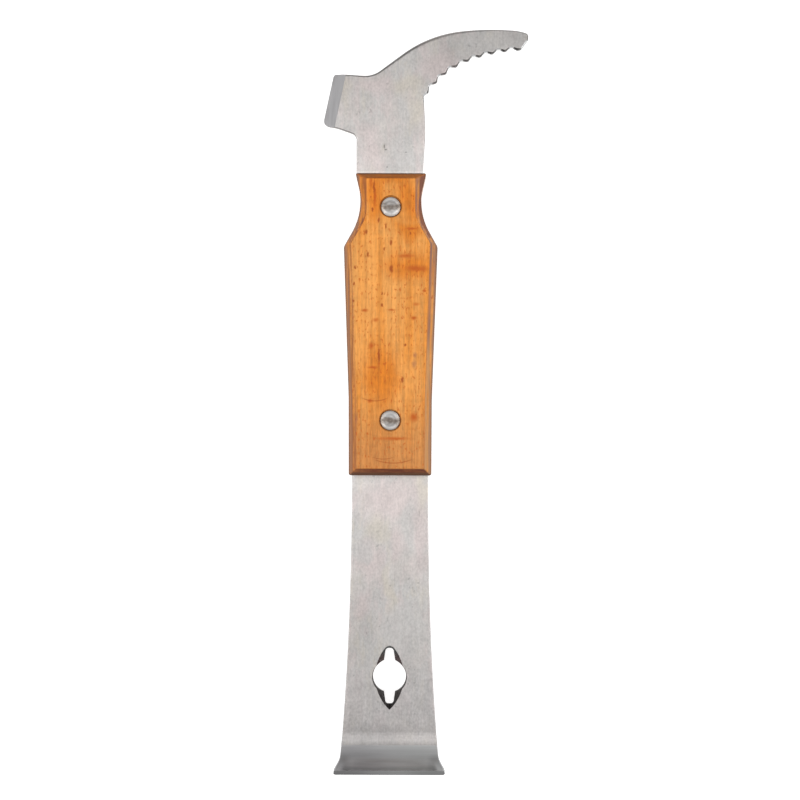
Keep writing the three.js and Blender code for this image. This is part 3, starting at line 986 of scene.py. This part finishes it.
def tumbled_steel():
    """Sheet steel, brushed along its length and tumbled: mottled, pitted, with dark sheared edges in
    painted shade, and painted light and shade by place.
    """
    m = Shader("tumbled_steel")
    brush = m.noise((2300, 70, 600), 3, 0.6)
    grain = m.noise((1500, 1000, 1500), 4, 0.65, shift=(3, 7, 1))
    clouds = m.noise((75, 50, 75), 3, 0.55, shift=(11, 2, 5))
    blotches = m.noise((260, 170, 260), 3, 0.6, shift=(21, 4, 15))
    broad = m.plus(m.swing(clouds, 0.045), m.swing(blotches, 0.045))
    mottling = m.plus(m.remap(brush, 0.25, 0.75, -0.045, 0.045), m.swing(grain, 0.095), broad, 1.0)
    level = m.times(mottling, steel_pitting(m), steel_edges(m), steel_shading(m))
    roughness = m.plus(m.spread(grain, 0.36, 0.44), m.swing(brush, 0.03))
    relief = m.bump(grain, 0.006, m.bump(brush, 0.004))
    return finished_steel(m, m.dim(steel_tints(m), level), roughness, relief)


# Patches of painted light and shade on the lip, by how far they are from the middle, or to the right of it:
# where each starts and is full across the tool, the same along it, and the change in level.
LIP_CORNERS = [(12.5, 16, -149.5, -152.5, -0.42), (16, 19, -151, -153, -0.42)]
LIP_MIDDLE = (16, 4, -150, -153, 0.16)
LIP_SIDES = [(2, -12, -148.5, -150.5, -0.12), (3, 12, -149.5, -151.5, -0.12)]

GROUND_LEFT = (0.474, 0.466, 0.474)
GROUND_RIGHT = (0.470, 0.472, 0.471)


def lip_shading(m, is_end):
    """Painted light and shade on the ground lip by place: dark corners and sides, a light middle and upper
    lip, a painted highlight near the end, and the end itself darker.
    """
    off_end = m.math("SUBTRACT", 1.0, is_end)
    sideways = m.size(m.x)

    def patch(across, start, full, top, foot, change, where=1.0):
        return m.raised(m.times(m.ramp(across, start, full), m.ramp(m.y, top, foot), where), change)

    patches = [patch(sideways, *corner, off_end) for corner in LIP_CORNERS]
    patches.append(patch(sideways, *LIP_MIDDLE))
    patches += [patch(m.x, *side) for side in LIP_SIDES]
    # A painted highlight just above the end, and painted shade on the end itself.
    painted_end_highlight = m.raised(m.times(m.ramp(m.y, -151.8, -153.2), off_end), 0.22)
    end = m.times(m.ramp(m.y, -154.8, -154.3, 0.47, 0.52), m.ramp(m.y, -155.9, -155.5, 0.7, 1.0))
    return m.times(*patches, painted_end_highlight, m.blend(is_end, 1.0, end), m.ramp(m.y, -151.5, -147.2, 1.0, 1.14))


def ground_steel():
    """Freshly ground steel on the lip and the nose: neutral and smooth, with faint streaks, and painted
    light and shade by place.
    """
    m = Shader("ground_steel")
    on_lip = m.math("LESS_THAN", m.y, 0.0)
    is_end = m.times(on_lip, m.remap(m.lean_y, -0.4, -0.7))
    across_lip = m.noise((60, 1500, 1500), 3, 0.6, shift=(2, 4, 6))
    along_nose = m.noise((1500, 60, 1500), 3, 0.6, shift=(5, 1, 3))
    streak = m.blend(on_lip, along_nose, across_lip)
    haze = m.noise((90, 200, 200), 2, 0.5)
    mottling = m.plus(m.swing(streak, 0.03), m.swing(haze, 0.025), 1.0)
    # Painted shade: the nose darker all over, the lip darker on its left than on its right.
    sides = m.blend(on_lip, 0.88, m.ramp(m.x, -14, 14, 0.89, 1.08))
    colour = m.mix(m.ramp(m.x, -12, 8), GROUND_LEFT, GROUND_RIGHT)
    colour = m.dim(colour, m.times(mottling, lip_shading(m, is_end), sides))
    roughness = m.blend(is_end, m.spread(streak, 0.30, 0.38), 0.70)
    return finished_steel(m, colour, roughness, m.bump(streak, 0.003))


# Colours of the slot's walls, dark with painted shade: at its foot, in its middle, and stained above its
# circle.
WALL_FOOT = (0.078, 0.071, 0.069)
WALL_MIDDLE = (0.112, 0.083, 0.081)
WALL_TOP = (0.095, 0.100, 0.096)


def sheared_steel():
    """The dull walls that punching and countersinking leave, darkened with painted shade inside the slot,
    darkest at its foot, and stained above the circle.
    """
    m = Shader("sheared_steel")
    tear = m.noise((900, 900, 2600), 4, 0.6)
    stain = m.mix(m.ramp(m.y, SLOT_Y + 6, SLOT_Y + 9.5), WALL_MIDDLE, WALL_TOP)
    colour = m.mix(m.ramp(m.y, SLOT_Y - 0.5, SLOT_Y + 1.5), WALL_FOOT, stain)
    colour = m.dim(colour, m.spread(tear, 0.65, 1.35))
    return finished_steel(m, colour, m.spread(tear, 0.42, 0.6), m.bump(tear, 0.02))


# Marks of the front scale: dark ray flecks, rubbed-in stains, and where the wood is deeper or paler in
# colour: (x, y, half width, half length).
FLECKS = [
    (-5.8, 47.5, 0.4, 2.3), (-6.3, 39.6, 0.3, 0.8), (-4.2, 36.0, 0.35, 0.9),
    (-1.8, 33.8, 0.4, 0.9), (-8.4, 31.8, 0.4, 0.9), (6.8, 31.3, 0.35, 0.6),
    (0.05, 28.1, 0.5, 0.9), (-2.2, 26.0, 0.35, 0.7), (-7.85, 24.0, 0.45, 1.0),
    (0.26, 19.1, 0.6, 1.4), (-12.2, 19.5, 0.35, 0.7), (-12.6, 13.9, 0.35, 0.6),
    (-3.0, 10.6, 0.35, 0.6), (-12.9, 8.0, 0.4, 0.6), (-3.0, 6.6, 0.5, 0.6),
    (5.1, -7.2, 0.35, 0.5), (-4.0, -11.0, 0.35, 2.6), (4.1, -19.3, 0.45, 1.1),
]
RUST_STAINS = [
    (8.9, 19.3, 4.5, 1.2), (11.0, 19.2, 2.2, 1.1), (5.3, 23.6, 3.2, 0.8),
    (11.7, 11.5, 0.9, 0.5), (8.9, 6.9, 1.4, 0.7), (0.3, 4.9, 1.6, 0.4), (-8.95, 4.7, 1.4, 0.6),
    (8.1, 2.1, 1.3, 0.8), (-4.9, 1.45, 1.2, 0.9), (-5.6, 43.5, 0.6, 4.5),
    (-6.9, 49.0, 0.6, 2.5), (7.0, 33.0, 2.5, 0.5), (-6.2, -15.0, 2.0, 0.5),
    (-6.7, -7.5, 1.0, 1.4), (8.2, -32.2, 1.6, 1.8), (-7.0, -26.6, 1.3, 0.8),
    (1.0, -39.6, 6.5, 0.7),
]
MAUVE_STAINS = [(8.2, -13.8, 1.0, 1.5), (8.6, -10.7, 0.7, 1.2), (-11.6, -33.0, 0.6, 2.2)]
DEEP_AREAS = [
    (-5, 45, 4, 9), (6.5, 44, 4, 9), (0, 51, 9, 3), (7, 20, 8, 5), (-3, -18, 6, 10),
    (6, 32, 5, 4),
]
PALE_AREAS = [(-9, 12, 5, 20), (-10, -9, 3, 9), (0, 8, 3, 10), (6, -20, 5, 7), (-1, 31, 2, 4)]
# Scratched arcs: (x and y of the lowest point, half width, sag, thickness).
SCRATCHES = [
    (1.0, -48.1, 7.6, 1.7, 0.3), (-5.3, -26.6, 5.2, 1.3, 0.28), (-2.5, -46.7, 4.2, 0.8, 0.22),
]

PALE_BEECH = (0.790, 0.350, 0.085)
PLAIN_BEECH = (0.705, 0.256, 0.036)
DEEP_BEECH = (0.665, 0.184, 0.005)
FOOT_BEECH = (0.525, 0.206, 0.056)
RUST = (0.500, 0.098, 0.002)
FLECK = (0.340, 0.064, 0.004)
MAUVE = (0.260, 0.095, 0.060)
# Chamfer colours: the wood in painted shade with a greyish painted sheen, darker on the left, lighter on
# the right, darker at the waist.
SHADED_CHAMFER_BROWN = (0.300, 0.098, 0.026)
SHADED_CHAMFER_DARK = (0.230, 0.066, 0.020)
SHADED_CHAMFER_TAN = (0.530, 0.275, 0.110)
SHADED_CHAMFER_DUN = (0.245, 0.130, 0.096)
SHADED_CHAMFER_GREY = (0.318, 0.158, 0.088)
SHADED_CHAMFER_RED = (0.190, 0.056, 0.026)
EDGE_BROWN = (0.090, 0.040, 0.020)
END_GRAIN = (0.300, 0.120, 0.038)
RIM_BROWN = (0.330, 0.090, 0.016)
# End chamfer colours in painted shade, darker at the foot than at the top.
TOP_END_SHADE = (0.190, 0.048, 0.003)
FOOT_END_SHADE = (0.094, 0.019, 0.011)


def plain_beech(m, is_front, lines, pores):
    """The bare wood: pale fibres, deeper clouds, and duller towards the foot."""
    fibres = m.noise((420, 12, 420), 3, 0.6, shift=(4, 6, 2))
    figure = m.noise((160, 520, 160), 2, 0.5, shift=(3, 8, 1), bend=0.6)
    cloud = m.noise((45, 30, 45), 2, 0.5, shift=(8, 8, 2))
    drifting = m.wobbled((150, 90, 150), 8)
    deep = m.times(m.areas(DEEP_AREAS, drifting), is_front, 0.85)
    pale = m.times(m.areas(PALE_AREAS, drifting), is_front, 0.6)
    wood = m.mix(m.remap(fibres, 0.36, 0.64, 0.0, 0.75), PLAIN_BEECH, PALE_BEECH)
    wood = m.mix(pale, wood, PALE_BEECH)
    wood = m.mix(m.math("MAXIMUM", deep, m.remap(cloud, 0.56, 0.75, 0.0, 0.5)), wood, DEEP_BEECH)
    wood = m.mix(m.ramp(m.y, -20, -48, 0.0, 0.75), wood, FOOT_BEECH)
    grain = m.plus(m.spread(lines, -0.15, 0.14), m.remap(pores, 0.35, 0.7, 0.07, -0.11))
    return m.dim(wood, m.plus(grain, m.swing(figure, 0.045), 1.0))


def marked_beech(m, wood, is_front):
    """The wood with its specks, stains, flecks and scratches, and the share of the last two."""
    specks = m.noise((1350, 620, 1350), 2, 0.5, shift=(7, 3, 2))
    ragged = m.noise((160, 120, 160), 2, 0.5, shift=(2, 3, 4))
    shaken = m.wobbled((900, 900, 900), 0.8)
    speck = m.times(m.remap(specks, 0.56, 0.68), m.remap(ragged, 0.36, 0.60, 0.2, 1.0), 0.75)
    rust = m.times(m.areas(RUST_STAINS, shaken, 0.1, 1.35), m.remap(ragged, 0.3, 0.6, 0.6, 1.0), is_front)
    mauve = m.times(m.areas(MAUVE_STAINS, shaken, 0.1, 1.4), is_front, 0.5)
    fleck = m.areas(FLECKS, shaken, 0.4, 1.4)
    for scratch in SCRATCHES:
        fleck = m.math("MAXIMUM", fleck, m.times(m.arc(*scratch), 0.6))
    fleck = m.times(fleck, is_front, 0.88)
    for share, mark in ((speck, RUST), (rust, RUST), (mauve, MAUVE), (fleck, FLECK)):
        wood = m.mix(share, wood, mark)
    return wood, fleck


def beech_sides(m, wood, down):
    """The long chamfers and walls, the chamfers in painted shade with a greyish painted sheen; down is 0 at
    the face and 1 at the chamfer's foot.
    """
    on_right = m.math("GREATER_THAN", m.x, 0.0)
    on_waist = m.times(on_right, m.ramp(m.y, 24, 32))
    shade_streaks = m.noise((700, 30, 900), 3, 0.6, shift=(9, 1, 6))
    # Painted shade: the left chamfer darker, the right one lighter and greyer.
    left = m.mix(m.ramp(m.y, 26, 36), SHADED_CHAMFER_BROWN, SHADED_CHAMFER_DARK)
    right = m.mix(m.ramp(m.y, -14, 0), SHADED_CHAMFER_TAN, SHADED_CHAMFER_DUN)
    side = m.mix(m.remap(shade_streaks, 0.36, 0.64, 0.15, 1.0), wood, m.mix(on_right, left, right))
    ragged_down = m.plus(down, m.swing(shade_streaks, 0.18), m.times(on_waist, 0.14))
    outer = m.times(m.remap(ragged_down, 0.45, 0.75), m.remap(down, 1.7, 1.1), 0.76)
    side = m.mix(outer, side, m.mix(on_waist, SHADED_CHAMFER_GREY, SHADED_CHAMFER_RED))
    edge = m.times(m.remap(down, 0.80, 0.97), m.remap(down, 1.3, 1.03), 0.80)
    side = m.mix(edge, side, EDGE_BROWN)
    return m.mix(m.times(m.remap(down, 1.15, 1.7), 0.8), side, m.dim(wood, 0.80))


def beech_ends(m, wood, down, pores):
    """The handle's two ends: chamfers in painted shade, darkest at the foot and lighter at its left, and
    open end grain below them.
    """
    at_top = m.math("GREATER_THAN", m.y, 0.0)
    streaks = m.noise((120, 1400, 1400), 3, 0.6, shift=(3, 5, 2))
    # Painted shade on the end chamfers, darker at the foot, lighter towards its left.
    end_shade = m.blend(at_top, m.ramp(m.x, -12, -3, 0.84, 1.0), 0.88)
    end_shade = m.times(end_shade, m.remap(streaks, 0.35, 0.65, 0.78, 1.0))
    end = m.mix(end_shade, wood, m.mix(at_top, FOOT_END_SHADE, TOP_END_SHADE))
    to_edge = m.math("SUBTRACT", down, m.times(at_top, 0.18))
    end = m.mix(m.remap(to_edge, 0.40, 0.80, 0.0, 0.94), end, EDGE_BROWN)
    end_grain = m.mix(m.remap(pores, 0.35, 0.65), END_GRAIN, m.dim(wood, 0.55))
    return m.mix(m.remap(down, 1.05, 1.45), end, end_grain)


def oiled_beech():
    """Oiled beech: grain along the handle, dark ray flecks, chamfers in painted shade and sheen, and darker
    end grain.
    """
    m = Shader("oiled_beech")
    lines = m.noise((1100, 22, 1100), 3, 0.55, shift=(1, 2, 3))
    pores = m.noise((2300, 420, 2300), 2, 0.5, shift=(5, 5, 5))
    is_front = m.math("GREATER_THAN", m.z, HANDLE_FRONT / 2 * MM)
    wood, fleck = marked_beech(m, plain_beech(m, is_front, lines, pores), is_front)

    from_face = m.math("MINIMUM", m.z, m.math("SUBTRACT", HANDLE_FRONT * MM, m.z))
    down = m.math("DIVIDE", from_face, CHAMFER_DEPTH * MM)
    flatness = m.size(m.lean_z)
    colour = m.mix(m.remap(flatness, 0.84, 0.97, 1.0, 0.0), wood, beech_sides(m, wood, down))
    at_rim = m.times(m.remap(flatness, 0.80, 0.90), m.remap(flatness, 0.985, 0.93))
    rim_share = m.blend(m.ramp(m.y, 24, 34), 0.45, m.ramp(m.x, 0, -1, 0.45, 0.80))
    colour = m.mix(m.times(at_rim, rim_share), colour, RIM_BROWN)
    at_end = m.remap(m.size(m.lean_y), 0.35, 0.6)
    m.set("Base Color", m.mix(at_end, colour, beech_ends(m, wood, down, pores)))
    m.set("Roughness", m.plus(m.spread(lines, 0.42, 0.52), m.times(fleck, 0.12)))
    m.set("Specular IOR Level", 0.28)
    m.set("Normal", m.bump(pores, 0.015, m.bump(lines, 0.02)))
    return m.material


# Rivet colours: a stained middle in painted shade, painted highlights at top, bottom and rim, painted shade
# at the edge.
RIVET_STAINED_SHADE = (0.205, 0.172, 0.148)
RIVET_HIGHLIGHT = (0.800, 0.790, 0.785)
RIVET_RIM = (0.640, 0.540, 0.450)
RIVET_EDGE_SHADE = (0.160, 0.130, 0.110)
# The painted light level of each rivet's head at its foot and at its top.
HEAD_LIGHT_LEVELS = {"lower": (1.00, 0.80), "upper": (0.86, 1.05)}


def rivet_steel():
    """Pressed rivet heads with painted light: highlights towards top and bottom and on the rim, shade at
    the sides and edge, a stained middle in painted shade.
    """
    m = Shader("rivet_steel")
    blotch = m.noise((420, 700, 420), 3, 0.6, shift=(2, 9, 4))
    streak = m.noise((330, 620, 330), 3, 0.6, shift=(8, 2, 1), bend=0.8)
    dents = m.noise((550, 550, 550), 1, 0.5, shift=(1, 1, 7))
    rises = [m.size(m.math("SUBTRACT", m.y, centre * MM)) for centre in RIVET_Y.values()]
    rise = m.math("MINIMUM", *rises)
    distance = m.math("SQRT", m.plus(m.times(m.x, m.x), m.times(rise, rise)))
    out = m.math("DIVIDE", distance, RIVET_HEAD_RADIUS * MM)
    towards_end = m.plus(m.math("DIVIDE", rise, RIVET_HEAD_RADIUS * MM), m.swing(streak, 0.13))
    colour = m.mix(m.remap(towards_end, 0.0, 0.9), RIVET_STAINED_SHADE, RIVET_HIGHLIGHT)
    colour = m.mix(m.remap(out, 0.70, 0.90, 0.0, 0.5), colour, RIVET_RIM)
    # Painted shade towards the sides of each head.
    painted_side_shade = m.remap(m.math("SUBTRACT", out, towards_end), 0.25, 0.85, 1.0, 0.52)
    rings = m.raised(m.math("SINE", m.plus(m.times(out, 17.0), m.times(blotch, 3.0))), 0.13)
    # Painted light that runs from each head's foot to its top.
    levels = {}
    for place, (foot_level, top_level) in HEAD_LIGHT_LEVELS.items():
        foot, top = RIVET_Y[place] - RIVET_HEAD_RADIUS, RIVET_Y[place] + RIVET_HEAD_RADIUS
        levels[place] = m.ramp(m.y, foot, top, foot_level, top_level)
    painted_light_by_height = m.blend(m.math("GREATER_THAN", m.y, 0.0), levels["lower"], levels["upper"])
    colour = m.dim(colour, m.times(painted_side_shade, rings, painted_light_by_height))
    colour = m.mix(m.remap(out, 0.92, 1.0), colour, RIVET_EDGE_SHADE)
    return finished_steel(m, colour, m.spread(blotch, 0.34, 0.46), m.bump(dents, 0.03))


def pale_floor():
    m = Shader("pale_floor")
    m.set("Base Color", (0.80, 0.80, 0.80, 1))
    m.set("Roughness", 0.9)
    m.set("Specular IOR Level", 0.0)
    m.set("Emission Color", (1, 1, 1, 1))
    m.set("Emission Strength", 0.6)
    return m.material


# ---- Pieces ----


def settle(piece, node):
    """Ties a piece to the part's one body and hides the CAD node it stands for."""
    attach(piece, "root")
    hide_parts(node)


settle(make_blade([tumbled_steel(), ground_steel(), sheared_steel()]), "blade")
beech = oiled_beech()
settle(make_scale(True, beech), "front_scale")
settle(make_scale(False, beech), "rear_scale")
head_steel = rivet_steel()
for where, rivet_y in RIVET_Y.items():
    for part, rivet in make_rivet(where, rivet_y, head_steel).items():
        settle(rivet, f"{where}_rivet_{part}")

# ---- Floor, light and camera ----

# From here on, sizes are in metres, but for the camera's sensor in millimetres.
FLOOR_SIZE = 6.0
WORLD_LIGHT = 0.55
CAMERA_PLACE = Vector((0.00338, -0.02627, 0.5935))
CAMERA_TURN = 0.0031
VIEW_WIDTH = 0.28048
VIEW_DISTANCE = 0.583
SENSOR = 36.0


def make_floor():
    made = bmesh.new()
    bmesh.ops.create_grid(made, x_segments=1, y_segments=1, size=FLOOR_SIZE / 2 / MM)
    floor = new_object("floor", made)
    floor.location.z = cad_low.z
    floor.data.materials.append(pale_floor())


def make_softbox(name, location, width, length, power):
    """A rectangular lamp that faces the middle of the tool."""
    lamp = bpy.data.lights.new(name, "AREA")
    lamp.shape = "RECTANGLE"
    lamp.size = width
    lamp.size_y = length
    lamp.energy = power
    softbox = add_object(name, lamp)
    softbox.location = location
    target = Vector((0, CAMERA_PLACE.y, 0))
    softbox.rotation_euler = (Vector(location) - target).to_track_quat("Z", "Y").to_euler()


def make_camera():
    data = bpy.data.cameras.new("camera")
    data.sensor_width = SENSOR
    data.lens = SENSOR * VIEW_DISTANCE / VIEW_WIDTH
    camera = add_object("camera", data)
    camera.location = CAMERA_PLACE
    camera.rotation_euler = (0, 0, CAMERA_TURN)
    bpy.context.scene.camera = camera


def make_world():
    world = bpy.data.worlds.new("studio")
    world.use_nodes = True
    background = world.node_tree.nodes["Background"]
    background.inputs["Color"].default_value = (1, 1, 1, 1)
    background.inputs["Strength"].default_value = WORLD_LIGHT
    bpy.context.scene.world = world


make_floor()
make_world()
make_softbox("overhead_softbox", (0.0, CAMERA_PLACE.y + 0.06, 1.2), 0.45, 0.42, 0.78)
for side_name, side_x in (("left_softbox", -0.95), ("right_softbox", 0.95)):
    make_softbox(side_name, (side_x, CAMERA_PLACE.y, 1.1), 0.6, 0.9, 7.0)
make_camera()
bpy.context.scene.view_settings.view_transform = "Standard"
